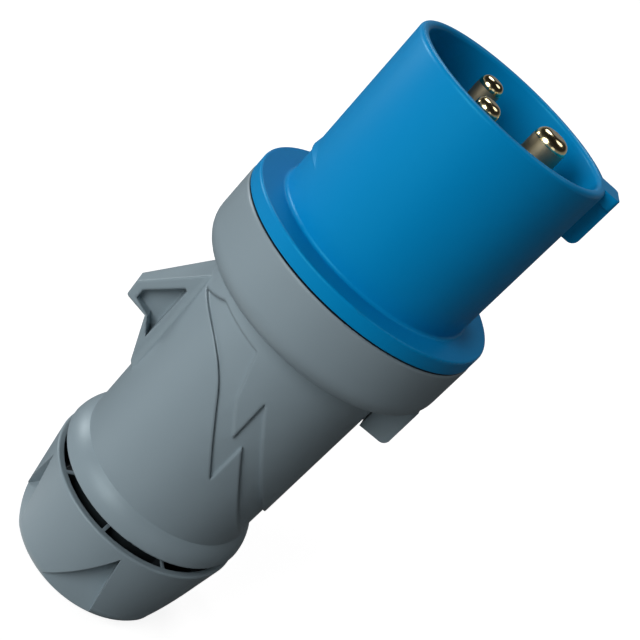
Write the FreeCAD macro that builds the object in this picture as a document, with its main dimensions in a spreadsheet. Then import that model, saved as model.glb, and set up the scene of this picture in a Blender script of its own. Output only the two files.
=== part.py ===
import FreeCAD, Part
import Sketcher
import math
import os

# Industrial pin and sleeve plug, 16 A, two poles and earth.
# The plug stands on the end of its gland nut with its mouth up. The origin is the
# centre of that end, +Z runs to the mouth, +X to the key at 6 o'clock.

doc = FreeCAD.newDocument("PinAndSleevePlug")
sheet = doc.addObject("Spreadsheet::Sheet", "Sizes")

# Driving sizes, millimetres and degrees
sizes = {
    # heights of the outside, from the end of the nut upwards
    "nut_height": 22.2,
    "flare_gap": 2.7,
    "flare_height": 5.4,
    "neck_length": 48.1,
    "collar_height": 14.6,
    "seam_gap": 0.3,
    "flange_height": 3.1,
    "sleeve_length": 37.6,
    # sleeve and flange
    "sleeve_radius": 22.0,
    "sleeve_draft": 0.25,
    "sleeve_wall": 2.0,
    "lip_round": 0.85,
    "flange_inset": 0.1,
    "flange_round": 0.45,
    "root_fillet": 0.7,
    "floor_drop": 0.4,
    "seat_thickness": 4.0,
    "skirt_depth": 11.3,
    "skirt_wall": 2.5,
    "skirt_clearance": 0.3,
    # key at 6 o'clock and the thin rib at 12 o'clock
    "key_reach": 2.85,
    "key_length": 11.6,
    "key_width": 5.4,
    "key_round": 1.6,
    "key_head_length": 2.6,
    "key_head_width": 6.6,
    "key_corner": 0.8,
    "rib_height": 7.6,
    "rib_rise": 2.2,
    "rib_proud": 0.4,
    "rib_shift": 3.0,
    "rib_span": 80.0,
    # bayonet between skirt and collar
    "lug_reach": 1.1,
    "lug_height": 2.4,
    "lug_rise": 2.0,
    "lug_span": 24.0,
    "lug_count": 3.0,
    "bayonet_clearance": 0.3,
    # body seal
    "seal_tube": 0.8,
    "seal_drop": 4.0,
    "seal_clearance": 0.05,
    # contact carrier
    "boss_ledge": 2.25,
    "boss_clearance": 0.1,
    "boss_stand": 1.0,
    "disc_thickness": 4.0,
    "disc_clearance": 0.2,
    "tower_clearance": 1.3,
    "tower_length": 22.0,
    "core_radius": 3.2,
    "core_depth": 16.0,
    # contact pins
    "pitch_radius": 9.0,
    "earth_radius": 3.5,
    "phase_radius": 2.5,
    "earth_past_mouth": 0.9,
    "phase_past_mouth": -0.6,
    "earth_tip_round": 2.0,
    "phase_tip_round": 1.6,
    "earth_barrel": 5.0,
    "phase_barrel": 4.4,
    "barrel_top_drop": 2.0,
    "barrel_stand": 2.0,
    "pin_clearance": 0.05,
    "pin_collar": 0.4,
    "barrel_clearance": 0.1,
    "wire_hole": 2.2,
    "wire_depth": 12.0,
    # terminal screws and their leaves
    "screw_radius": 1.9,
    "screw_clearance": 0.05,
    "screw_rise": 5.0,
    "head_stand": 0.35,
    "dog_radius": 1.2,
    "dog_length": 1.0,
    "head_radius": 2.7,
    "head_height": 1.6,
    "slot_width": 0.8,
    "slot_depth": 0.9,
    "head_clearance": 0.25,
    "leaf_inner": 1.2,
    "leaf_thickness": 0.45,
    "leaf_width": 2.6,
    "leaf_length": 9.7,
    "leaf_tab": 3.0,
    "leaf_gap": 0.25,
    "tip_gap": 0.05,
    # carrier screws
    "carrier_screw_radius": 1.5,
    "carrier_screw_length": 6.5,
    "carrier_screw_head": 2.1,
    "carrier_screw_inset": 0.4,
    "carrier_screw_clearance": 0.06,
    # handle
    "collar_step": 5.7,
    "collar_wall": 2.9,
    "collar_round": 4.9,
    "collar_edge": 0.5,
    "collar_floor": 1.9,
    "neck_step": 6.8,
    "neck_draft": 0.5,
    "neck_fillet": 0.7,
    "neck_wall": 2.3,
    "neck_floor": 5.7,
    "flare_step": 2.2,
    "flare_arc": 8.4,
    "flare_edge": 0.5,
    "tube_step": 6.8,
    "tube_wall": 2.6,
    "tube_lead": 1.2,
    "tube_clearance": 1.45,
    "tube_cone": 5.0,
    "thread_pitch": 3.0,
    "thread_depth": 0.75,
    "thread_crest": 1.0,
    "thread_length": 13.0,
    # storm figure sunk in the neck
    "figure_depth": 0.55,
    "figure_arc": 19.9,
    # hook at 12 o'clock
    "hook_reach": 10.2,
    "hook_drop": 7.6,
    "hook_root_width": 8.2,
    "hook_flare": 2.4,
    "hook_tip_width": 4.2,
    "hook_web": 1.4,
    "hook_rim": 1.2,
    # locking slide at 6 o'clock
    "slide_width": 10.0,
    "slide_height": 10.1,
    "slide_gap": 0.3,
    "slide_clearance": 0.25,
    "slide_inset": 0.1,
    "slide_round": 1.5,
    "tongue_width": 5.0,
    "tongue_clearance": 0.3,
    "tongue_overhang": 0.4,
    "tongue_reach": 4.0,
    # gland nut
    "nut_stand": 0.15,
    "nut_taper": 2.35,
    "nut_round": 4.2,
    "nut_edge": 0.4,
    "nut_end_wall": 3.2,
    "nut_hole": 8.0,
    "thread_clearance": 0.1,
    "thread_wall": 2.3,
    "core_wall": 1.45,
    "nut_core_depth": 5.0,
    "rib_width": 0.8,
    "rib_count": 9.0,
    "rib_turn": 102.0,
    "facet_count": 5.0,
    "facet_depth": 0.8,
    "facet_top": 2.5,
    "facet_apex": 1.95,
    "facet_left": 9.2,
    "facet_right": 6.1,
    "facet_arc": 78.0,
    # clamp ring, slip washer and cable seal inside the nut
    "washer_thickness": 0.8,
    "washer_gap": 0.05,
    "washer_bore": 8.8,
    "ring_clearance": 0.5,
    "ring_base": 3.0,
    "claw_clearance": 0.3,
    "claw_wall": 2.0,
    "claw_length": 10.0,
    "claw_slot": 1.2,
    "claw_count": 12.0,
    "seal_wall": 5.9,
    "seal_fit": 0.15,
    "seal_collar": 1.8,
}
row = 0
for name, number in sizes.items():
    row += 1
    sheet.set("A%d" % row, name)
    sheet.set("B%d" % row, repr(number))
    sheet.setAlias("B%d" % row, name)
doc.recompute()


# A length or angle that knows both its value and the cells it comes from
class Size:
    def __init__(self, value, text):
        self.value = value
        self.text = text

    def __add__(self, other):
        other = sized(other)
        return Size(self.value + other.value, "(%s + %s)" % (self.text, other.text))

    def __sub__(self, other):
        other = sized(other)
        return Size(self.value - other.value, "(%s - %s)" % (self.text, other.text))

    def __mul__(self, other):
        other = sized(other)
        return Size(self.value * other.value, "(%s * %s)" % (self.text, other.text))

    def __truediv__(self, other):
        other = sized(other)
        return Size(self.value / other.value, "(%s / %s)" % (self.text, other.text))

    def __radd__(self, other):
        return sized(other) + self

    def __rsub__(self, other):
        return sized(other) - self

    def __rmul__(self, other):
        return sized(other) * self

    def __rtruediv__(self, other):
        return sized(other) / self

    def __neg__(self):
        return Size(-self.value, "(0 - %s)" % self.text)


def sized(number):
    return number if isinstance(number, Size) else Size(float(number), repr(float(number)))


def size(name):
    return Size(sizes[name], "Sizes." + name)


def cosine(angle):
    angle = sized(angle)
    return Size(math.cos(math.radians(angle.value)), "cos(%s)" % angle.text)


def sine(angle):
    angle = sized(angle)
    return Size(math.sin(math.radians(angle.value)), "sin(%s)" % angle.text)


def root(area):
    area = sized(area)
    return Size(math.sqrt(area.value), "sqrt(%s)" % area.text)


def polar(radius, angle):
    return radius * cosine(angle), radius * sine(angle)


def bind(thing, slot, length):
    length = sized(length)
    thing.setExpression(slot, length.text)


# Sketches and features
def origin_feature(body, role):
    return [one for one in body.Origin.OriginFeatures if one.Role == role][0]


def new_body(label):
    body = doc.addObject("PartDesign::Body", label + "_body")
    body.Label = label
    return body


# Centre of an arc through two points: a positive radius bends to the left of the way
def arc_centre(start, end, radius):
    across = end - start
    half = across.Length / 2
    away = math.sqrt(max(radius * radius - half * half, 0.0))
    left = FreeCAD.Vector(-across.y, across.x, 0).normalize()
    return start + across / 2 + left * (away if radius > 0 else -away)


# A closed outline: each entry is (x, y) for a straight side to the next point, or
# (x, y, radius) for an arc to it
def outline(body, name, plane, path, offset=None):
    sketch = body.newObject("Sketcher::SketchObject", name)
    sketch.AttachmentSupport = [(origin_feature(body, plane), "")]
    sketch.MapMode = "FlatFace"
    if offset is not None:
        bind(sketch, "AttachmentOffset.Base.z", offset)
    points = [FreeCAD.Vector(sized(p[0]).value, sized(p[1]).value, 0) for p in path]
    sides = []
    first_end = []
    for i, entry in enumerate(path):
        start = points[i]
        end = points[(i + 1) % len(points)]
        if len(entry) == 2:
            sides.append(Part.LineSegment(start, end))
            first_end.append(1)
            continue
        radius = sized(entry[2]).value
        centre = arc_centre(start, end, radius)
        circle = Part.Circle(centre, FreeCAD.Vector(0, 0, 1), abs(radius))
        turn_start = circle.parameter(start)
        turn_end = circle.parameter(end)
        if radius > 0:
            sides.append(Part.ArcOfCircle(circle, turn_start, turn_end))
            first_end.append(1)
        else:
            sides.append(Part.ArcOfCircle(circle, turn_end, turn_start))
            first_end.append(2)
    sketch.addGeometry(sides, False)
    rules = []
    bound = []
    for i, entry in enumerate(path):
        after = (i + 1) % len(path)
        rules.append(Sketcher.Constraint("Coincident", i, 3 - first_end[i], after, first_end[after]))
        for axis, kind, place in ((-2, "DistanceX", entry[0]), (-1, "DistanceY", entry[1])):
            place = sized(place)
            if place.value == 0 and "Sizes" not in place.text:
                rules.append(Sketcher.Constraint("PointOnObject", i, first_end[i], axis))
                continue
            rules.append(Sketcher.Constraint(kind, -1, 1, i, first_end[i], place.value))
            if "Sizes" in place.text:
                bound.append((len(rules) - 1, place))
        if len(entry) == 3:
            radius = sized(entry[2])
            rules.append(Sketcher.Constraint("Radius", i, abs(radius.value)))
            if "Sizes" in radius.text:
                bound.append((len(rules) - 1, radius if radius.value > 0 else -radius))
    sketch.addConstraint(rules)
    for index, length in bound:
        sketch.setExpression("Constraints[%d]" % index, length.text)
    sketch.Visibility = False
    return sketch


def round_sketch(body, name, plane, centre, radius, offset=None):
    sketch = body.newObject("Sketcher::SketchObject", name)
    sketch.AttachmentSupport = [(origin_feature(body, plane), "")]
    sketch.MapMode = "FlatFace"
    if offset is not None:
        bind(sketch, "AttachmentOffset.Base.z", offset)
    x, y, radius = sized(centre[0]), sized(centre[1]), sized(radius)
    place = FreeCAD.Vector(x.value, y.value, 0)
    sketch.addGeometry(Part.Circle(place, FreeCAD.Vector(0, 0, 1), radius.value), False)
    sketch.addConstraint(Sketcher.Constraint("Radius", 0, radius.value))
    sketch.setExpression("Constraints[0]", radius.text)
    count = 1
    for axis, kind, along in ((-2, "DistanceX", x), (-1, "DistanceY", y)):
        if along.value == 0 and "Sizes" not in along.text:
            sketch.addConstraint(Sketcher.Constraint("PointOnObject", 0, 3, axis))
        else:
            sketch.addConstraint(Sketcher.Constraint(kind, -1, 1, 0, 3, along.value))
            sketch.setExpression("Constraints[%d]" % count, along.text)
        count += 1
    sketch.Visibility = False
    return sketch


def rectangle(x_low, x_high, y_low, y_high):
    return [(x_low, y_low), (x_high, y_low), (x_high, y_high), (x_low, y_high)]


def revolve(body, name, path):
    sketch = outline(body, name + "_outline", "XZ_Plane", path)
    turned = body.newObject("PartDesign::Revolution", name)
    turned.Profile = sketch
    turned.ReferenceAxis = (sketch, ["V_Axis"])
    turned.Angle = 360.0
    return turned


def pad(body, name, sketch, length, middle=False, reverse=False):
    raised = body.newObject("PartDesign::Pad", name)
    raised.Profile = sketch
    raised.Midplane = middle
    raised.Reversed = reverse
    bind(raised, "Length", length)
    return raised


# A pocket goes against the sketch's normal, or along it when reversed
def pocket(body, name, sketch, length, middle=False, reverse=False):
    before = body.newObject("PartDesign::Pocket", name)
    before.Profile = sketch
    before.Midplane = middle
    before.Reversed = reverse
    bind(before, "Length", length)
    return before


def polar_copies(body, name, features, count):
    copies = body.newObject("PartDesign::PolarPattern", name)
    copies.Originals = features
    copies.Axis = (origin_feature(body, "Z_Axis"), [""])
    copies.Angle = 360.0
    bind(copies, "Occurrences", count)
    body.Tip = copies
    return copies


def fillet_edges(body, name, base, radius, chosen):
    doc.recompute()
    names = ["Edge%d" % (i + 1) for i, edge in enumerate(base.Shape.Edges) if chosen(edge)]
    softened = body.newObject("PartDesign::Fillet", name)
    softened.Base = (base, names)
    bind(softened, "Radius", radius)
    return softened


# Levels, from the end of the nut upwards
flare_base = size("nut_height") + size("flare_gap")
flare_top = flare_base + size("flare_height")
collar_base = flare_top + size("neck_length")
collar_top = collar_base + size("collar_height")
flange_base = collar_top + size("seam_gap")
flange_top = flange_base + size("flange_height")
mouth = flange_top + size("sleeve_length")
floor_level = flange_top - size("floor_drop")
seat_level = floor_level - size("seat_thickness")
skirt_bottom = flange_base - size("skirt_depth")
disc_bottom = seat_level - size("disc_thickness")
tower_bottom = disc_bottom - size("tower_length")
carrier_face = floor_level + size("boss_stand")
barrel_bottom = tower_bottom + size("barrel_stand")
barrel_top = disc_bottom + size("barrel_top_drop")
screw_level = barrel_bottom + size("screw_rise")
collar_floor = collar_base + size("collar_floor")
ring_low = size("nut_end_wall") + size("washer_gap") + size("washer_thickness")
ring_high = ring_low + size("ring_base")
claw_top = ring_high + size("claw_length")
tube_end = ring_high + size("tube_clearance")
lug_low = skirt_bottom + size("lug_rise")
lug_high = lug_low + size("lug_height")

# Radii that neighbours share
collar_radius = size("sleeve_radius") + size("collar_step")
flange_radius = collar_radius - size("flange_inset")
neck_top_radius = collar_radius - size("neck_step")
neck_low_radius = neck_top_radius - size("neck_draft")
flare_radius = neck_low_radius + size("flare_step")
tube_radius = flare_radius - size("tube_step")
tube_bore = tube_radius - size("tube_wall")
nut_top_radius = flare_radius + size("nut_stand")
nut_low_radius = nut_top_radius - size("nut_taper")
collar_bore = collar_radius - size("collar_wall")
skirt_radius = collar_bore - size("skirt_clearance")
skirt_bore = skirt_radius - size("skirt_wall")
sleeve_root = size("sleeve_radius") - size("sleeve_draft")
mouth_bore = size("sleeve_radius") - size("sleeve_wall")
root_bore = sleeve_root - size("sleeve_wall")
boss_radius = root_bore - size("boss_ledge")
seat_bore = boss_radius + size("boss_clearance")
carrier_screw_pitch = (seat_bore + skirt_bore) / 2 - size("carrier_screw_inset")
lug_radius = skirt_radius + size("lug_reach")
bayonet_radius = lug_radius + size("bayonet_clearance")
seal_level = flange_base - size("seal_drop")
groove_radius = collar_bore - 2 * size("seal_tube") - 2 * size("seal_clearance")
groove_half = size("seal_tube") + 2 * size("seal_clearance")
neck_bore = neck_low_radius - size("neck_wall") + 0.2
tower_radius = neck_bore - size("tower_clearance")
screw_tip = size("leaf_inner") + size("leaf_thickness") + size("tip_gap")
screw_shank = (neck_bore - size("head_stand") - size("head_height") - size("pitch_radius")
               - screw_tip - size("dog_length"))
tongue_outer = skirt_radius - size("tongue_clearance")
tongue_inner = skirt_bore - size("tongue_overhang")
thread_bore = tube_radius + size("thread_clearance")
ring_radius = thread_bore - size("ring_clearance")
claw_outer = tube_bore - size("claw_clearance")
seal_bore = claw_outer - size("seal_wall")
sleeve_core = thread_bore + size("thread_wall")


# Shroud: sleeve, flange and bayonet skirt in one moulding
def make_shroud():
    body = new_body("shroud_moulding")
    lip = size("lip_round")
    turned = revolve(body, "shroud_wall", [
        (skirt_bore, skirt_bottom),
        (skirt_radius, skirt_bottom),
        (skirt_radius, seal_level - groove_half),
        (groove_radius, seal_level - groove_half),
        (groove_radius, seal_level + groove_half),
        (skirt_radius, seal_level + groove_half),
        (skirt_radius, flange_base),
        (flange_radius, flange_base),
        (flange_radius, flange_top - size("flange_round"), size("flange_round")),
        (flange_radius - size("flange_round"), flange_top),
        (sleeve_root + size("root_fillet"), flange_top, -size("root_fillet")),
        (sleeve_root, flange_top + size("root_fillet")),
        (size("sleeve_radius"), mouth - lip, lip),
        (size("sleeve_radius") - lip, mouth),
        (mouth_bore + lip, mouth, lip),
        (mouth_bore, mouth - lip),
        (root_bore, floor_level),
        (seat_bore, floor_level),
        (seat_bore, seat_level),
        (skirt_bore, seat_level),
    ])
    key_inner = size("sleeve_radius") - 0.75 * size("sleeve_wall")
    key_outer = size("sleeve_radius") + size("key_reach")
    key_low = mouth - size("key_length")
    key = outline(body, "key_outline", "XZ_Plane", [
        (key_inner, key_low),
        (key_outer - size("key_round"), key_low, size("key_round")),
        (key_outer, key_low + size("key_round")),
        (key_outer, mouth),
        (key_inner, mouth),
    ])
    pad(body, "key", key, size("key_width"), middle=True)
    half = size("key_head_width") / 2
    corner = size("key_corner")
    head = outline(body, "key_head_outline", "XY_Plane", [
        (key_inner, -half),
        (key_outer - corner, -half, corner),
        (key_outer, corner - half),
        (key_outer, half - corner, corner),
        (key_outer - corner, half),
        (key_inner, half),
    ], offset=mouth)
    pad(body, "key_head", head, size("key_head_length"), reverse=True)
    half = size("lug_span") / 2
    lug_inner = skirt_radius - size("skirt_wall") / 2
    low_in, high_in = polar(lug_inner, 60 - half), polar(lug_inner, 60 + half)
    low_out, high_out = polar(lug_radius, 60 - half), polar(lug_radius, 60 + half)
    lug = outline(body, "lug_outline", "XY_Plane", [
        (low_out[0], low_out[1], lug_radius),
        high_out,
        (high_in[0], high_in[1], -lug_inner),
        low_in,
    ], offset=lug_low)
    raised = pad(body, "lug", lug, size("lug_height"))
    polar_copies(body, "lugs", [raised], size("lug_count"))
    notch_half = size("tongue_width") / 2 + size("slide_gap")
    notch = outline(body, "notch_outline", "YZ_Plane",
                    rectangle(-notch_half, notch_half, skirt_bottom - 1,
                              skirt_bottom + size("tongue_reach") + size("slide_gap")),
                    offset=skirt_bore - 1)
    pocket(body, "notch", notch, size("skirt_wall") + 2, reverse=True)
    for side, name in ((1, "left"), (-1, "right")):
        hole = round_sketch(body, "pilot_circle_" + name, "XY_Plane",
                            (0, side * carrier_screw_pitch),
                            size("carrier_screw_radius") + size("carrier_screw_clearance"),
                            offset=seat_level)
        pocket(body, "pilot_" + name, hole,
               size("carrier_screw_length") - size("disc_thickness") + 0.3, reverse=True)
    rib = make_sleeve_rib()
    shroud = doc.addObject("Part::Fuse", "shroud")
    shroud.Base = body
    shroud.Tool = rib
    return shroud


# Thin rib at 12 o'clock: its centre is off the axis, so that it fades at both ends
def make_sleeve_rib():
    body = new_body("sleeve_rib")
    shift = size("rib_shift")
    low = flange_top + size("rib_height")
    high = low + size("rib_rise")
    inner = sleeve_root - shift - size("sleeve_wall") / 2
    section = outline(body, "rib_outline", "XZ_Plane", [
        (inner, low),
        (sleeve_root - shift + size("rib_proud"), low),
        (sleeve_root - shift, high),
        (inner, high),
    ])
    arc = body.newObject("PartDesign::Revolution", "rib_arc")
    arc.Profile = section
    arc.ReferenceAxis = (section, ["V_Axis"])
    arc.Midplane = True
    bind(arc, "Angle", size("rib_span"))
    bind(body, "Placement.Base.x", -shift)
    body.Placement.Rotation = FreeCAD.Rotation(FreeCAD.Vector(0, 0, 1), 180)
    return body


# Seal ring in the skirt's groove
def make_body_seal():
    ring = doc.addObject("Part::Torus", "body_seal")
    bind(ring, "Radius1", collar_bore - size("seal_tube") - size("seal_clearance"))
    bind(ring, "Radius2", size("seal_tube"))
    bind(ring, "Placement.Base.z", seal_level)
    return ring


stations = (
    ("earth", 0, size("earth_radius"), size("earth_barrel"), size("earth_past_mouth")),
    ("line", 120, size("phase_radius"), size("phase_barrel"), size("phase_past_mouth")),
    ("neutral", 240, size("phase_radius"), size("phase_barrel"), size("phase_past_mouth")),
)


# Contact carrier: front boss, clamped disc and rear tower with the terminal chambers
def make_carrier():
    body = new_body("contact_carrier")
    disc_radius = skirt_bore - size("disc_clearance")
    revolve(body, "carrier_blank", [
        (0, tower_bottom),
        (tower_radius, tower_bottom),
        (tower_radius, disc_bottom),
        (disc_radius, disc_bottom),
        (disc_radius, seat_level),
        (boss_radius, seat_level),
        (boss_radius, carrier_face),
        (0, carrier_face),
    ])
    for name, angle, pin, barrel, _ in stations:
        centre = polar(size("pitch_radius"), angle)
        through = round_sketch(body, "pin_circle_" + name, "XY_Plane", centre,
                               pin + size("pin_collar") + size("pin_clearance"),
                               offset=carrier_face)
        pocket(body, "pin_hole_" + name, through, carrier_face - barrel_top + 1)
        chamber = round_sketch(body, "chamber_circle_" + name, "XY_Plane", centre,
                               barrel + size("barrel_clearance"), offset=tower_bottom)
        pocket(body, "chamber_" + name, chamber, barrel_top - tower_bottom, reverse=True)
    entry = round_sketch(body, "driver_circle", "YZ_Plane", (0, screw_level),
                         size("head_radius") + size("head_clearance"),
                         offset=tower_radius + 1)
    driver = pocket(body, "driver_hole", entry,
                    tower_radius + 1 - size("pitch_radius"))
    polar_copies(body, "driver_holes", [driver], 3)
    core = round_sketch(body, "core_circle", "XY_Plane", (0, 0), size("core_radius"),
                        offset=tower_bottom)
    pocket(body, "core", core, size("core_depth"), reverse=True)
    for side, name in ((1, "left"), (-1, "right")):
        hole = round_sketch(body, "screw_circle_" + name, "XY_Plane",
                            (0, side * carrier_screw_pitch),
                            size("carrier_screw_radius") + size("carrier_screw_clearance"),
                            offset=seat_level)
        pocket(body, "screw_hole_" + name, hole, size("disc_thickness") + 1)
    return body


# Contact pin with its terminal barrel; its own +X faces away from the plug's axis
def make_pin(name, angle, pin, barrel, past_mouth):
    body = new_body("pin_" + name)
    tip = mouth + past_mouth
    tip_round = size("earth_tip_round") if name == "earth" else size("phase_tip_round")
    revolve(body, "pin_shape_" + name, [
        (0, barrel_bottom),
        (barrel, barrel_bottom),
        (barrel, barrel_top),
        (pin + size("pin_collar"), barrel_top),
        (pin + size("pin_collar"), carrier_face),
        (pin, carrier_face),
        (pin, tip - tip_round, tip_round),
        (pin - tip_round, tip),
        (0, tip),
    ])
    wire = round_sketch(body, "wire_circle_" + name, "XY_Plane", (0, 0), size("wire_hole"),
                        offset=barrel_bottom)
    pocket(body, "wire_hole_" + name, wire, size("wire_depth"), reverse=True)
    thread = round_sketch(body, "thread_circle_" + name, "YZ_Plane", (0, screw_level),
                          size("screw_radius") + size("screw_clearance"), offset=barrel + 1)
    pocket(body, "thread_hole_" + name, thread, barrel + 1)
    stand_at(body, angle, size("pitch_radius"))
    return body


# Puts a piece at a radius from the axis, turned by an angle about it
def stand_at(piece, angle, radius):
    across = polar(radius, angle)
    bind(piece, "Placement.Base.x", across[0])
    bind(piece, "Placement.Base.y", across[1])
    piece.Placement.Rotation = FreeCAD.Rotation(FreeCAD.Vector(0, 0, 1), angle)
    piece.Placement.Rotation.Angle = math.radians(angle)


# Terminal screw, its tip just off the leaf and its head in the carrier's driver hole
def make_terminal_screw(name, angle):
    body = new_body("terminal_screw_" + name)
    dog, shank = size("dog_length"), screw_shank
    head_low = dog + shank
    head_high = head_low + size("head_height")
    revolve(body, "screw_shape_" + name, [
        (0, 0),
        (size("dog_radius"), 0),
        (size("dog_radius"), dog),
        (size("screw_radius"), dog),
        (size("screw_radius"), head_low),
        (size("head_radius"), head_low),
        (size("head_radius"), head_high),
        (0, head_high),
    ])
    half = size("slot_width") / 2
    slot = outline(body, "slot_outline_" + name, "XY_Plane",
                   rectangle(-half, half, -size("head_radius") - 1, size("head_radius") + 1),
                   offset=head_high)
    pocket(body, "slot_" + name, slot, size("slot_depth"))
    across = polar(size("pitch_radius") + screw_tip, angle)
    bind(body, "Placement.Base.x", across[0])
    bind(body, "Placement.Base.y", across[1])
    bind(body, "Placement.Base.z", screw_level)
    outwards = FreeCAD.Vector(math.cos(math.radians(angle)), math.sin(math.radians(angle)), 0)
    body.Placement.Rotation = FreeCAD.Rotation(FreeCAD.Vector(0, 0, 1), outwards)
    return body


# Leaf between screw and wire, its tab under the end of the barrel
def make_leaf(name, angle):
    body = new_body("clamp_leaf_" + name)
    inner = size("leaf_inner")
    outer = inner + size("leaf_thickness")
    tab_top = barrel_bottom - size("leaf_gap")
    tab_low = tab_top - size("leaf_thickness")
    shape = outline(body, "leaf_outline_" + name, "XZ_Plane", [
        (inner, tab_low),
        (inner + size("leaf_tab"), tab_low),
        (inner + size("leaf_tab"), tab_top),
        (outer, tab_top),
        (outer, tab_top + size("leaf_length")),
        (inner, tab_top + size("leaf_length")),
    ])
    pad(body, "leaf_shape_" + name, shape, size("leaf_width"), middle=True)
    stand_at(body, angle, size("pitch_radius"))
    return body


# Screw that holds the carrier against the shroud's seat
def make_carrier_screw(name, side):
    body = new_body("carrier_screw_" + name)
    head_low = disc_bottom - size("head_height")
    revolve(body, "carrier_screw_shape_" + name, [
        (0, head_low),
        (size("carrier_screw_head"), head_low),
        (size("carrier_screw_head"), disc_bottom),
        (size("carrier_screw_radius"), disc_bottom),
        (size("carrier_screw_radius"), disc_bottom + size("carrier_screw_length")),
        (0, disc_bottom + size("carrier_screw_length")),
    ])
    half = size("slot_width") / 2
    slot = outline(body, "carrier_slot_outline_" + name, "XY_Plane",
                   rectangle(-half, half, -size("head_radius") - 1, size("head_radius") + 1),
                   offset=head_low)
    pocket(body, "carrier_slot_" + name, slot, size("slot_depth"), reverse=True)
    bind(body, "Placement.Base.y", side * carrier_screw_pitch)
    return body


# Handle: collar, neck, flare and gland tube in one moulding
def make_handle():
    body = new_body("handle_moulding")
    fillet = size("neck_fillet")
    lug_gap = size("bayonet_clearance")
    neck_bottom = flare_top + size("neck_floor")
    revolve(body, "handle_wall", [
        (tube_bore + size("tube_lead"), tube_end),
        (tube_radius, tube_end),
        (tube_radius, flare_base),
        (flare_radius - size("flare_edge"), flare_base, size("flare_edge")),
        (flare_radius, flare_base + size("flare_edge"), size("flare_arc")),
        (neck_low_radius, flare_top),
        (neck_top_radius, collar_base - fillet, -fillet),
        (neck_top_radius + fillet, collar_base),
        (collar_radius - size("collar_round"), collar_base, size("collar_round")),
        (collar_radius, collar_base + size("collar_round")),
        (collar_radius, collar_top - size("collar_edge"), size("collar_edge")),
        (collar_radius - size("collar_edge"), collar_top),
        (collar_bore, collar_top),
        (collar_bore, lug_high + lug_gap),
        (bayonet_radius, lug_high + lug_gap),
        (bayonet_radius, lug_low - lug_gap),
        (collar_bore, lug_low - lug_gap),
        (collar_bore, collar_floor),
        (neck_bore, collar_floor),
        (neck_bore, neck_bottom),
        (tube_bore, flare_top),
        (tube_bore, tube_end + size("tube_cone")),
    ])
    cut_thread(body)
    half = size("lug_span") / 2 + 2
    inner = collar_bore - 1
    low_in, high_in = polar(inner, 100 - half), polar(inner, 100 + half)
    low_out, high_out = polar(bayonet_radius, 100 - half), polar(bayonet_radius, 100 + half)
    entry = outline(body, "entry_outline", "XY_Plane", [
        (low_out[0], low_out[1], bayonet_radius),
        high_out,
        (high_in[0], high_in[1], -inner),
        low_in,
    ], offset=collar_top)
    slot = pocket(body, "entry_slot", entry, collar_top - lug_high)
    polar_copies(body, "entry_slots", [slot], size("lug_count"))
    gap = size("slide_gap")
    tongue_half = size("tongue_width") / 2 + gap
    passage = outline(body, "passage_outline", "XY_Plane",
                      rectangle(tongue_inner - gap, tongue_outer + gap,
                                -tongue_half, tongue_half),
                      offset=collar_floor + 1)
    pocket(body, "passage", passage, size("collar_floor") + 3)
    sunk = doc.addObject("Part::Cut", "handle_sunk")
    sunk.Base = body
    sunk.Tool = make_figure()
    handle = doc.addObject("Part::Fuse", "handle")
    handle.Base = sunk
    handle.Tool = make_hook()
    return handle


# Gland thread on the handle's tube, cut as a helical groove
def cut_thread(body):
    over = 0.3
    crest = tube_radius
    bottom = crest - size("thread_depth")
    mid = tube_end + size("thread_pitch") / 2
    half_out = (size("thread_pitch") - size("thread_crest")) / 2 + over / 2
    half_in = half_out - size("thread_depth") / 2 - over / 2
    groove = outline(body, "thread_outline", "XZ_Plane", [
        (crest + over, mid - half_out),
        (bottom, mid - half_in),
        (bottom, mid + half_in),
        (crest + over, mid + half_out),
    ])
    thread = body.newObject("PartDesign::SubtractiveHelix", "thread")
    thread.Profile = groove
    thread.ReferenceAxis = (groove, ["V_Axis"])
    thread.Mode = 0
    bind(thread, "Pitch", size("thread_pitch"))
    bind(thread, "Height", size("thread_length"))
    return thread


# Hook at 12 o'clock: a plate narrowing to its tip, with a pocket sunk in each side
def make_hook():
    body = new_body("hook_moulding")
    root_x = -(neck_low_radius - 1)
    tip_x = -(neck_low_radius + size("hook_reach"))
    top = collar_base - size("hook_drop")
    shape = outline(body, "hook_outline", "XZ_Plane", [
        (root_x, top + 3.1),
        (tip_x, top - 10.8),
        (tip_x + 0.2, top - 14.1, 0.8),
        (tip_x + 0.8, top - 14.5),
        (tip_x + 5.5, top - 14.9),
        (root_x - 2.0, top - 24.4),
        (root_x, top - 26.5),
    ])
    spread = size("hook_root_width") + 2 * size("hook_flare")
    pad(body, "hook_plate", shape, spread, middle=True)
    rim = size("hook_rim")
    recess = [
        (tip_x + 1.75 * rim, top - 11.2),
        (root_x - 3.1, top - 4.3),
        (root_x - 2.6, top - 4.7),
        (root_x - 2.9, top - 18.2),
        (tip_x + 4.8 + rim, top - 14.7),
        (tip_x + 1.75 * rim, top - 13.5),
    ]
    depth = spread / 2 - size("hook_web") / 2
    for name, side, reverse in (("near", 1, False), ("far", -1, True)):
        sunk = outline(body, "recess_outline_" + name, "XZ_Plane", recess,
                       offset=side * spread / 2)
        pocket(body, "recess_" + name, sunk, depth, reverse=reverse)
    narrow = size("hook_tip_width") / 2
    wide = size("hook_root_width") / 2
    flare = size("hook_flare")
    for name, side in (("near", -1), ("far", 1)):
        wedge = outline(body, "wedge_outline_" + name, "XY_Plane", [
            (tip_x - 1, side * (wide + flare + 1)),
            (tip_x - 1, side * narrow),
            (tip_x, side * narrow),
            (root_x - flare, side * wide, side * flare),
            (root_x, side * (wide + flare)),
            (root_x, side * (wide + flare + 1)),
        ], offset=collar_base)
        pocket(body, "wedge_" + name, wedge, size("neck_length"))
    return body


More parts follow.
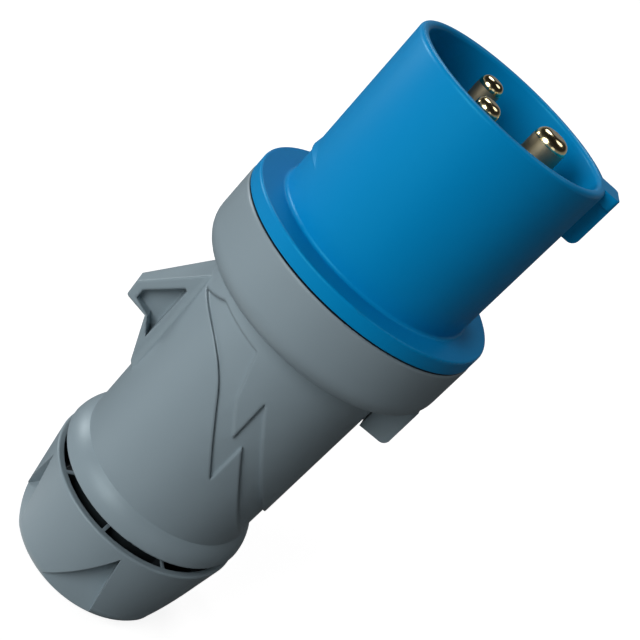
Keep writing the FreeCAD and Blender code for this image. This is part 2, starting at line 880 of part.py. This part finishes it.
# Storm figure: a flash that starts at the hook and runs round to 6 o'clock, on both sides
def make_figure():
    body = new_body("figure_prism")

    # a point of the figure: the angle round the neck and the drop below the collar
    def point(angle, drop):
        return neck_low_radius * cosine(angle), collar_base - drop

    beyond = neck_low_radius + 1
    shape = outline(body, "figure_outline", "XZ_Plane", [
        point(168, 7.7) + (-size("figure_arc"),),
        point(107.7, 16.6),
        point(79.3, 31.9),
        point(79, 21.8),
        (beyond, collar_base - 49.7),
        (beyond, collar_base - 41.6),
        point(86.9, 11.1),
        point(86.4, 21.3),
        point(99.3, 14.4),
        point(108.3, 4.4),
        point(142.5, 3.8),
    ])
    pad(body, "figure_prism_shape", shape, 2 * collar_radius, middle=True)
    keep = doc.addObject("Part::Cone", "figure_keep")
    bind(keep, "Radius1", neck_low_radius - size("figure_depth"))
    bind(keep, "Radius2", neck_top_radius - size("figure_depth"))
    bind(keep, "Height", collar_base - flare_top)
    bind(keep, "Placement.Base.z", flare_top)
    reach = doc.addObject("Part::Cone", "figure_reach")
    bind(reach, "Radius1", neck_low_radius + 0.2)
    bind(reach, "Radius2", neck_top_radius + 0.2)
    bind(reach, "Height", collar_base - flare_top)
    bind(reach, "Placement.Base.z", flare_top)
    skin = doc.addObject("Part::Cut", "figure_skin")
    skin.Base = reach
    skin.Tool = keep
    figure = doc.addObject("Part::Common", "figure_tool")
    figure.Base = skin
    figure.Tool = body
    return figure


# Locking slide: a block flush with the collar, its tongue in the notch of the skirt
def make_locking_slide():
    body = new_body("locking_slide")
    half = size("slide_width") / 2
    inner = neck_top_radius + size("slide_clearance")
    outer = collar_radius - size("slide_inset")
    inner_x = root(inner * inner - half * half)
    outer_x = root(outer * outer - half * half)
    top = collar_base - size("slide_gap")
    block = outline(body, "slide_outline", "XY_Plane", [
        (inner_x, -half),
        (outer_x, -half, outer),
        (outer_x, half),
        (inner_x, half, -inner),
    ], offset=top)
    raised = pad(body, "slide_block", block, size("slide_height"), reverse=True)
    bottom = top.value - sizes["slide_height"]
    softened = fillet_edges(
        body, "slide_round", raised, size("slide_round"),
        lambda edge: abs(edge.BoundBox.ZMin - bottom) < 0.01 and edge.BoundBox.ZMax < bottom + 0.01
        and edge.BoundBox.XMin > outer_x.value - 0.01)
    body.Tip = softened
    tongue_half = size("tongue_width") / 2
    tongue = outline(body, "tongue_outline", "XY_Plane",
                     rectangle(tongue_inner, tongue_outer,
                               -tongue_half, tongue_half),
                     offset=top - 1)
    pad(body, "tongue", tongue, skirt_bottom + size("tongue_reach") - top + 1)
    return body


# Gland nut: double wall with ribs between, cone outside with five grip facets
def make_gland_nut():
    body = new_body("gland_nut")
    edge = size("nut_edge")
    revolve(body, "nut_wall", [
        (size("nut_hole"), 0),
        (nut_low_radius - size("nut_round"), 0, size("nut_round")),
        (nut_low_radius, size("nut_round")),
        (nut_top_radius, size("nut_height") - edge, edge),
        (nut_top_radius - edge, size("nut_height")),
        (thread_bore, size("nut_height")),
        (thread_bore, size("nut_end_wall")),
        (size("nut_hole"), size("nut_end_wall")),
    ])
    core_out = nut_top_radius - size("core_wall")
    pitch = 360 / size("rib_count")
    half_out = (pitch - 57.3 * size("rib_width") / core_out) / 2
    half_in = (pitch - 57.3 * size("rib_width") / sleeve_core) / 2
    middle = pitch / 2 - size("rib_turn")
    low_out, high_out = polar(core_out, middle - half_out), polar(core_out, middle + half_out)
    low_in, high_in = polar(sleeve_core, middle - half_in), polar(sleeve_core, middle + half_in)
    core = outline(body, "core_outline", "XY_Plane", [
        (low_out[0], low_out[1], core_out),
        high_out,
        (high_in[0], high_in[1], -sleeve_core),
        low_in,
    ], offset=size("nut_height"))
    cored = pocket(body, "core_pocket", core, size("nut_core_depth"))
    polar_copies(body, "core_pockets", [cored], size("rib_count"))
    taper = math.degrees(math.atan2(sizes["nut_taper"], sizes["nut_height"] - sizes["nut_round"]))
    height = size("nut_height") - size("facet_top")
    facet = outline(body, "facet_outline", "XZ_Plane", [
        (size("facet_apex"), height, -size("facet_arc")),
        (-size("facet_left"), 0),
        (-size("facet_left"), -2),
        (size("facet_right"), -2),
    ])
    foot = nut_low_radius - (nut_top_radius - nut_low_radius) * 0.23
    facet.AttachmentOffset = FreeCAD.Placement(
        FreeCAD.Vector(0, 0, 0), FreeCAD.Rotation(FreeCAD.Vector(1, 0, 0), -taper))
    bind(facet, "AttachmentOffset.Base.z", foot - size("facet_depth"))
    flat = pocket(body, "facet", facet, 6, reverse=True)
    polar_copies(body, "facets", [flat], size("facet_count"))
    return body


# Slip washer on the nut's end wall
def make_slip_washer():
    body = new_body("slip_washer")
    low = size("nut_end_wall") + size("washer_gap")
    high = low + size("washer_thickness")
    revolve(body, "washer_shape", rectangle(size("washer_bore"), ring_radius, low, high))
    return body


# Clamp ring: base ring with claws that stand inside the handle's tube
def make_clamp_ring():
    body = new_body("clamp_ring")
    claw_inner = claw_outer - size("claw_wall")
    revolve(body, "ring_shape", [
        (claw_inner, ring_low),
        (ring_radius, ring_low),
        (ring_radius, ring_high),
        (claw_outer, ring_high),
        (claw_outer, claw_top),
        (claw_inner, claw_top),
    ])
    half = size("claw_slot") / 2
    slot = outline(body, "claw_slot_outline", "XY_Plane",
                   rectangle(claw_inner - 1, claw_outer + 1, -half, half),
                   offset=claw_top)
    cut = pocket(body, "claw_slot", slot, size("claw_length"))
    polar_copies(body, "claw_slots", [cut], size("claw_count"))
    return body


# Cable seal: a rubber bush inside the claws, with a collar over their ends
def make_cable_seal():
    body = new_body("cable_seal")
    outer = claw_outer - size("claw_wall") - size("seal_fit")
    collar_low = claw_top + size("seal_fit")
    revolve(body, "seal_shape", [
        (seal_bore, ring_low + size("seal_fit")),
        (outer, ring_low + size("seal_fit")),
        (outer, collar_low),
        (claw_outer, collar_low),
        (claw_outer, collar_low + size("seal_collar")),
        (seal_bore, collar_low + size("seal_collar")),
    ])
    return body


pieces = {
    "shroud": make_shroud(),
    "body_seal": make_body_seal(),
    "contact_carrier": make_carrier(),
    "handle": make_handle(),
    "locking_slide": make_locking_slide(),
    "gland_nut": make_gland_nut(),
    "slip_washer": make_slip_washer(),
    "clamp_ring": make_clamp_ring(),
    "cable_seal": make_cable_seal(),
    "carrier_screw_left": make_carrier_screw("left", 1),
    "carrier_screw_right": make_carrier_screw("right", -1),
}
for name, angle, pin, barrel, past_mouth in stations:
    pieces["pin_" + name] = make_pin(name, angle, pin, barrel, past_mouth)
    pieces["terminal_screw_" + name] = make_terminal_screw(name, angle)
    pieces["clamp_leaf_" + name] = make_leaf(name, angle)
doc.recompute()

for thing in doc.Objects:
    if "Invalid" in thing.State or "Error" in thing.State:
        raise RuntimeError("%s did not build: %s" % (thing.Name, thing.State))
os.makedirs("parts", exist_ok=True)
for name, piece in pieces.items():
    piece.Label = name
    shape = piece.Shape
    if shape.isNull() or not shape.isValid():
        raise RuntimeError("%s has no valid shape" % name)
    shape.exportStep("parts/%s.step" % name)
    box = shape.BoundBox
    print("%-24s solids %d volume %9.1f z %7.2f to %7.2f r %6.2f" % (
        name, len(shape.Solids), shape.Volume, box.ZMin, box.ZMax, max(box.XMax, -box.XMin)))
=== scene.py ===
import math
import bpy
from mathutils import Matrix, Vector

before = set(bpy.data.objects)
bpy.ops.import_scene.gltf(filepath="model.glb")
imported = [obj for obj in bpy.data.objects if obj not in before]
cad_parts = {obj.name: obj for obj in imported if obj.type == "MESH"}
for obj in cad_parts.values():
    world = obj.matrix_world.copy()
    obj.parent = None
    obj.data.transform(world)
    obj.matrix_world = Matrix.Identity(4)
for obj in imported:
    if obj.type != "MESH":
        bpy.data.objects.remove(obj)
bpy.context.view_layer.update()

mm = 0.001
print("frame loaded")


# shader maths on sockets: a Signal is a value or colour on its way to another node
class Signal:
    def __init__(self, recipe, socket):
        self.recipe = recipe
        self.socket = socket

    def mathNode(self, operation, first, second):
        return self.recipe.node("ShaderNodeMath", {"operation": operation}, {0: first, 1: second})

    def __add__(self, other):
        return self.mathNode("ADD", self, other)

    def __radd__(self, other):
        return self.mathNode("ADD", other, self)

    def __sub__(self, other):
        return self.mathNode("SUBTRACT", self, other)

    def __rsub__(self, other):
        return self.mathNode("SUBTRACT", other, self)

    def __mul__(self, other):
        return self.mathNode("MULTIPLY", self, other)

    def __rmul__(self, other):
        return self.mathNode("MULTIPLY", other, self)


# the nodes of one material, or of the room, under construction
class Recipe:
    def __init__(self, owner):
        owner.use_nodes = True
        self.owner = owner
        self.tree = owner.node_tree
        self.tree.nodes.clear()

    # a node of any kind: settings first, then the values or links of its inputs
    def node(self, kind, settings=None, inputs=None, output=0):
        made = self.tree.nodes.new(kind)
        for name, value in (settings or {}).items():
            if name == "stops":
                self.setStops(made, value)
            else:
                setattr(made, name, value)
        for name, value in (inputs or {}).items():
            if isinstance(value, Signal):
                self.tree.links.new(value.socket, made.inputs[name])
            else:
                made.inputs[name].default_value = value
        return Signal(self, made.outputs[output])

    # each stop has its place along the ramp and a grey
    def setStops(self, ramp, stops):
        elements = ramp.color_ramp.elements
        while len(elements) > len(stops):
            elements.remove(elements[-1])
        while len(elements) < len(stops):
            elements.new(1.0)
        for element, (place, grey) in zip(elements, stops):
            element.position = place
            element.color = colour(grey, grey, grey)

    # where a point lies on the object, in metres
    def place(self):
        return self.node("ShaderNodeTexCoord", output="Object")

    def noise(self, size, detail, roughness=0.5, stretch=None):
        place = self.place()
        if stretch:
            place = self.node("ShaderNodeMapping", {}, {"Vector": place, "Scale": stretch})
        return self.node("ShaderNodeTexNoise", {}, {
            "Vector": place, "Scale": 1.0 / size, "Detail": detail, "Roughness": roughness})

    # 0 at one reading and 1 at the other, whichever is larger
    def between(self, reading, zero, one):
        return self.node("ShaderNodeMapRange", {}, {"Value": reading, "From Min": zero, "From Max": one})

    # 0 below one height on the object, 1 above the other
    def climb(self, low, high):
        height = self.node("ShaderNodeSeparateXYZ", {}, {0: self.place()}, output=2)
        return self.between(height, low, high)

    def ramp(self, value, stops):
        return self.node("ShaderNodeValToRGB", {"stops": stops}, {"Fac": value})

    def mix(self, factor, first, second):
        return self.node("ShaderNodeMix", {"data_type": "RGBA"},
                         {"Factor": factor, 6: first, 7: second}, output=2)

    def vector(self, operation, first, second=None, output=0):
        inputs = {0: first} if second is None else {0: first, 1: second}
        return self.node("ShaderNodeVectorMath", {"operation": operation}, inputs, output)

    # 1 for a ray that the camera sends, straight or through something clear,
    # and 1 for a ray that a surface mirrors
    def rays(self):
        straight = self.node("ShaderNodeLightPath", output="Is Camera Ray")
        through = self.node("ShaderNodeLightPath", output="Is Transmission Ray")
        glossy = self.node("ShaderNodeLightPath", output="Is Glossy Ray")
        return straight + through, glossy * (1.0 - through)

    def finish(self, sockets):
        self.sendOut("ShaderNodeOutputMaterial", self.node("ShaderNodeBsdfPrincipled", {}, sockets))
        return self.owner

    def sendOut(self, kind, surface):
        output = self.tree.nodes.new(kind)
        self.tree.links.new(surface.socket, output.inputs["Surface"])


def colour(red, green, blue):
    return (red, green, blue, 1.0)


# 1 in the pockets inside the nut's rim, which get painted shade, and 0 elsewhere
def paintedShadePocketMask(recipe, look):
    flat = recipe.vector("MULTIPLY", recipe.place(), (1.0, 1.0, 0.0))
    radius = recipe.vector("LENGTH", flat, output=1)
    inside = recipe.between(radius, look["rimInside"], look["rimInside"] - 0.15 * mm)
    belowRim = 1.0 - recipe.climb(look["rimTop"] - 0.30 * mm, look["rimTop"] - 0.10 * mm)
    overFloor = recipe.climb(look["pocketFloor"] - 0.2 * mm, look["pocketFloor"])
    return inside * belowRim * overFloor


# edges that catch the light as if the mould had broken them, crisper at the handle's foot
def brokenEdges(recipe, look):
    broken = recipe.node("ShaderNodeBevel", {"samples": 8}, {"Radius": look["edge"]})
    if "crispBelow" not in look:
        return broken
    crisp = recipe.node("ShaderNodeBevel", {"samples": 8}, {"Radius": look["crispEdge"]})
    above = recipe.climb(look["crispBelow"], look["crispBelow"] + 1 * mm)
    return recipe.node("ShaderNodeMix", {"data_type": "VECTOR"},
                       {"Factor": above, 4: crisp, 5: broken}, output=1)


# moulded plastic: a slow drift of tone, fine spark-eroded grain and a few rubbed spots
def mouldedPlastic(name, look):
    recipe = Recipe(bpy.data.materials.new(name))
    drift = recipe.noise(look["driftSize"], 4.0)
    rubbed = recipe.ramp(recipe.noise(look["rubSize"], 6.0, 0.7), look["rubStops"])
    fine = recipe.noise(look["grainSize"], 2.0)
    tone = recipe.mix(drift, look["deepTone"], look["tone"])
    # painted shade: the nut's deep pockets darkened to stand in for the shade that falls in them
    if "paintedPocketShade" in look:
        tone = recipe.mix(paintedShadePocketMask(recipe, look), tone, look["paintedPocketShade"])
    # painted shade: the handle's top edge darkened to stand in for the shade in the narrow gap below the
    # blue flange
    if "paintedGapShade" in look:    # painted shade in the narrow gap over the collar
        gap = recipe.climb(look["gapAbove"], look["gapAbove"] + 0.06 * mm)
        tone = recipe.mix(gap, tone, look["paintedGapShade"])
    return recipe.finish({
        "Base Color": tone,
        "Roughness": look["roughness"] + look["driftDull"] * drift - look["rubShine"] * rubbed,
        "Normal": recipe.node("ShaderNodeBump", {}, {
            "Height": fine, "Distance": look["grainDepth"], "Strength": 0.5,
            "Normal": brokenEdges(recipe, look)}),
        "Specular Tint": look["sheen"],
        "IOR": look["gloss"]})


# plated metal: lines turned round the axis and a slow drift in the plating; a pin's tip
# is polished, and its sides are worn by the socket
def platedMetal(name, look):
    recipe = Recipe(bpy.data.materials.new(name))
    drift = recipe.noise(look["driftSize"], 5.0, 0.6)
    turned = recipe.noise(look["lineSize"], 2.0, stretch=(0.02, 0.02, 1.0))
    tone = recipe.mix(drift, look["deepTone"], look["tone"])
    roughness = look["roughness"] + look["lineDull"] * turned + look["driftDull"] * drift
    if "polishedFrom" in look:
        tip = recipe.climb(look["polishedFrom"], look["polishedFrom"] + 0.25 * mm)
        tone = recipe.mix(tip, tone, recipe.mix(drift, look["tipDeepTone"], look["tipTone"]))
        roughness = roughness - tip * look["polish"]
    return recipe.finish({
        "Base Color": tone,
        "Metallic": 1.0,
        "Roughness": roughness,
        "Normal": recipe.node("ShaderNodeBump", {}, {
            "Height": turned, "Distance": look["lineDepth"], "Strength": 0.35})})


# matt rubber: a pale bloom in soft spots over a fine grain
def mattRubber(name, look):
    recipe = Recipe(bpy.data.materials.new(name))
    bloom = recipe.noise(look["bloomSize"], 6.0, 0.7)
    fine = recipe.noise(look["grainSize"], 2.0)
    return recipe.finish({
        "Base Color": recipe.mix(bloom, look["deepTone"], look["tone"]),
        "Roughness": look["roughness"] + look["bloomDull"] * bloom,
        "Normal": recipe.node("ShaderNodeBump", {}, {
            "Height": fine, "Distance": look["grainDepth"], "Strength": 0.5})})


# what all the mouldings share
mouldedLook = {
    "driftSize": 18 * mm, "driftDull": 0.07,
    "rubSize": 3 * mm, "rubStops": ((0.60, 0.0), (0.74, 1.0)), "rubShine": 0.06}

# the shroud's blue
bluePlastic = mouldedPlastic("bluePlastic", dict(
    mouldedLook,
    tone=colour(0.0, 0.237, 0.546), deepTone=colour(0.0, 0.223, 0.520),
    grainSize=0.22 * mm, grainDepth=0.006 * mm,
    roughness=0.36, edge=0.25 * mm, gloss=1.40, sheen=colour(0.15, 0.90, 1.0)))

# the grey of the slide and the clamp ring, and with a few changes of the nut and the handle
greyLook = dict(
    mouldedLook,
    tone=colour(0.236, 0.300, 0.336), deepTone=colour(0.222, 0.284, 0.320),
    grainSize=0.20 * mm, grainDepth=0.008 * mm,
    roughness=0.38, edge=0.30 * mm, gloss=1.50, sheen=colour(0.80, 0.95, 1.0))
greyPlastic = mouldedPlastic("greyPlastic", greyLook)
# the nut, with painted shade in the pockets inside its rim
nutPlastic = mouldedPlastic("nutPlastic", dict(
    greyLook,
    paintedPocketShade=colour(0.012, 0.016, 0.018), rimInside=20.95 * mm, rimTop=22.2 * mm,
    pocketFloor=17.2 * mm))
# the handle, with painted shade along its top edge in the gap below the blue flange
handlePlastic = mouldedPlastic("handlePlastic", dict(
    greyLook,
    edge=0.90 * mm, crispEdge=0.30 * mm, crispBelow=30.8 * mm,
    paintedGapShade=colour(0.010, 0.013, 0.015), gapAbove=92.86 * mm))

# the carrier and the slip washer
whitePlastic = mouldedPlastic("whitePlastic", dict(
    mouldedLook,
    tone=colour(0.42, 0.44, 0.45), deepTone=colour(0.38, 0.40, 0.41), driftSize=12 * mm,
    grainSize=0.20 * mm, grainDepth=0.006 * mm,
    roughness=0.42, edge=0.15 * mm, gloss=1.40, sheen=colour(1, 1, 1)))

# the contact pins; the earth pin stands higher than the other two
pinLook = {
    "tone": colour(0.62, 0.52, 0.33), "deepTone": colour(0.40, 0.33, 0.20),
    "driftSize": 4 * mm, "driftDull": 0.05,
    "lineSize": 0.3 * mm, "lineDepth": 0.004 * mm, "lineDull": 0.10,
    "roughness": 0.34,
    "tipTone": colour(0.90, 0.78, 0.47), "tipDeepTone": colour(0.84, 0.70, 0.38),
    "polish": 0.26}
earthMetal = platedMetal("earthMetal", dict(pinLook, polishedFrom=132.7 * mm))
poleMetal = platedMetal("poleMetal", dict(pinLook, polishedFrom=131.3 * mm))

# screws and clamp leaves
screwMetal = platedMetal("screwMetal", {
    "tone": colour(0.58, 0.59, 0.60), "deepTone": colour(0.46, 0.47, 0.49),
    "driftSize": 4 * mm, "driftDull": 0.05,
    "lineSize": 0.4 * mm, "lineDepth": 0.004 * mm, "lineDull": 0.10,
    "roughness": 0.28})

# the seals
blackRubber = mattRubber("blackRubber", {
    "tone": colour(0.035, 0.035, 0.036), "deepTone": colour(0.012, 0.012, 0.013),
    "bloomSize": 2 * mm, "bloomDull": 0.15,
    "grainSize": 0.15 * mm, "grainDepth": 0.02 * mm,
    "roughness": 0.62})
print("materials made")

finishes = {
    "shroud": bluePlastic,
    "body_seal": blackRubber,
    "contact_carrier": whitePlastic,
    "handle": handlePlastic,
    "locking_slide": greyPlastic,
    "gland_nut": nutPlastic,
    "slip_washer": whitePlastic,
    "clamp_ring": greyPlastic,
    "cable_seal": blackRubber,
    "carrier_screw_left": screwMetal,
    "carrier_screw_right": screwMetal,
}
for contact in ("earth", "line", "neutral"):
    finishes["pin_" + contact] = earthMetal if contact == "earth" else poleMetal
    finishes["terminal_screw_" + contact] = screwMetal
    finishes["clamp_leaf_" + contact] = screwMetal
for node, finish in finishes.items():
    piece = bpy.data.objects[node]
    piece.data.materials.clear()
    piece.data.materials.append(finish)
print("finishes on")


# the floor: to the eye its white fades in from nearRing to farRing, each a distance in
# metres and a grey; in a reflection it is bright on the key lamp's side, as lampStops
# give from the side away from it to the side towards it
floorLook = {
    "width": 8.0, "drop": 0.2 * mm,
    "tone": colour(0.36, 0.36, 0.36),
    "nearRing": (0.10, 0.87), "farRing": (0.30, 1.0),
    "lampSide": -140.0,    # azimuth in degrees
    "lampStops": ((0.60, 0.05), (0.95, 1.0)),
}


def makeFloor():
    bpy.ops.object.select_all(action="DESELECT")
    bpy.ops.mesh.primitive_plane_add(size=floorLook["width"], location=(0, 0, -floorLook["drop"]))
    floor = bpy.context.object
    floor.name = "floor"
    recipe = Recipe(bpy.data.materials.new("floorWhite"))
    seen, mirrored = recipe.rays()
    away = recipe.vector("LENGTH", recipe.place(), output=1)
    white = recipe.ramp(away, (floorLook["nearRing"], floorLook["farRing"]))
    diffuse = recipe.node("ShaderNodeBsdfDiffuse", {}, {"Color": floorLook["tone"]})
    glow = recipe.node("ShaderNodeEmission", {}, {"Color": white, "Strength": seen})
    lit = recipe.node("ShaderNodeAddShader", {}, {0: diffuse, 1: glow})
    azimuth = math.radians(floorLook["lampSide"])
    lampWay = (math.cos(azimuth), math.sin(azimuth), 0.0)
    facing = recipe.vector("DOT_PRODUCT", recipe.vector("NORMALIZE", recipe.place()), lampWay, output=1)
    sheen = recipe.node("ShaderNodeEmission", {}, {"Color": recipe.ramp(facing, floorLook["lampStops"])})
    shown = recipe.node("ShaderNodeMixShader", {}, {0: mirrored, 1: lit, 2: sheen})
    recipe.sendOut("ShaderNodeOutputMaterial", shown)
    floor.data.materials.append(recipe.owner)


# the photo's angle
cameraView = {
    "place": (-36.73 * mm, -217.77 * mm, 178.87 * mm),
    "right": (0.7592, 0.1604, 0.6308),
    "up": (-0.6318, 0.4143, 0.6551),
    "focalPixels": 1250.8,
    "imagePixels": 640,
    "sensorWidth": 36.0,
    "nearestSeen": 5 * mm,
}


def makeCamera():
    lens = bpy.data.cameras.new("photoCamera")
    lens.sensor_width = cameraView["sensorWidth"]
    lens.lens = cameraView["focalPixels"] * cameraView["sensorWidth"] / cameraView["imagePixels"]
    lens.clip_start = cameraView["nearestSeen"]
    camera = bpy.data.objects.new("photoCamera", lens)
    bpy.context.scene.collection.objects.link(camera)
    right = Vector(cameraView["right"]).normalized()
    back = right.cross(Vector(cameraView["up"])).normalized()
    up = back.cross(right)
    turn = Matrix((right, up, back)).transposed().to_4x4()
    camera.matrix_world = Matrix.Translation(cameraView["place"]) @ turn
    bpy.context.scene.camera = camera


# each lamp: the azimuth and height in degrees that it shines from, its distance and width
# in metres and its power in watts; all aim at one point on the object's axis
lampAim = 70 * mm
lamps = {
    "keyLamp": {"azimuth": -133.0, "height": 22.0, "distance": 0.90, "width": 0.62, "power": 6.15},
    "fillLamp": {"azimuth": -66.0, "height": 14.0, "distance": 0.90, "width": 0.40, "power": 0.30},
    "leftLamp": {"azimuth": 156.0, "height": 6.0, "distance": 0.80, "width": 0.20, "power": 2.2},
    "rearLamp": {"azimuth": 108.0, "height": 50.0, "distance": 0.90, "width": 0.36, "power": 1.8},
    "backTopLamp": {"azimuth": 30.0, "height": 62.0, "distance": 0.80, "width": 0.36, "power": 0.65},
}


def makeLamps():
    middle = Vector((0, 0, lampAim))
    for name, lamp in lamps.items():
        light = bpy.data.lights.new(name, "AREA")
        light.shape = "DISK"
        light.size = lamp["width"]
        light.energy = lamp["power"]
        holder = bpy.data.objects.new(name, light)
        bpy.context.scene.collection.objects.link(holder)
        azimuth = math.radians(lamp["azimuth"])
        height = math.radians(lamp["height"])
        away = Vector((math.cos(azimuth) * math.cos(height),
                       math.sin(azimuth) * math.cos(height), math.sin(height)))
        holder.location = middle + away * lamp["distance"]
        holder.rotation_euler = away.to_track_quat("Z", "Y").to_euler()


# the room: white to the eye, and dim in a reflection, so that the pins have something to
# mirror; mirroredStops give its grey from the horizon up to overhead
roomLook = {
    "mirroredStops": ((0.0, 0.3), (0.28, 0.16), (0.38, 0.02), (0.9, 0.01)),
    "ambient": 0.025,
}


def makeWorld():
    world = bpy.data.worlds.new("softRoom")
    bpy.context.scene.world = world
    room = Recipe(world)
    skyward = room.node("ShaderNodeTexCoord", output="Generated")
    height = room.node("ShaderNodeSeparateXYZ", {}, {0: skyward}, output=2)
    seen, mirrored = room.rays()
    strength = (seen + mirrored * room.ramp(height, roomLook["mirroredStops"])
                + (1.0 - seen - mirrored) * roomLook["ambient"])
    backdrop = room.node("ShaderNodeBackground", {}, {"Color": colour(1, 1, 1), "Strength": strength})
    room.sendOut("ShaderNodeOutputWorld", backdrop)


makeFloor()
makeCamera()
makeLamps()
makeWorld()
bpy.context.scene.view_settings.view_transform = "Standard"
print("stage set")
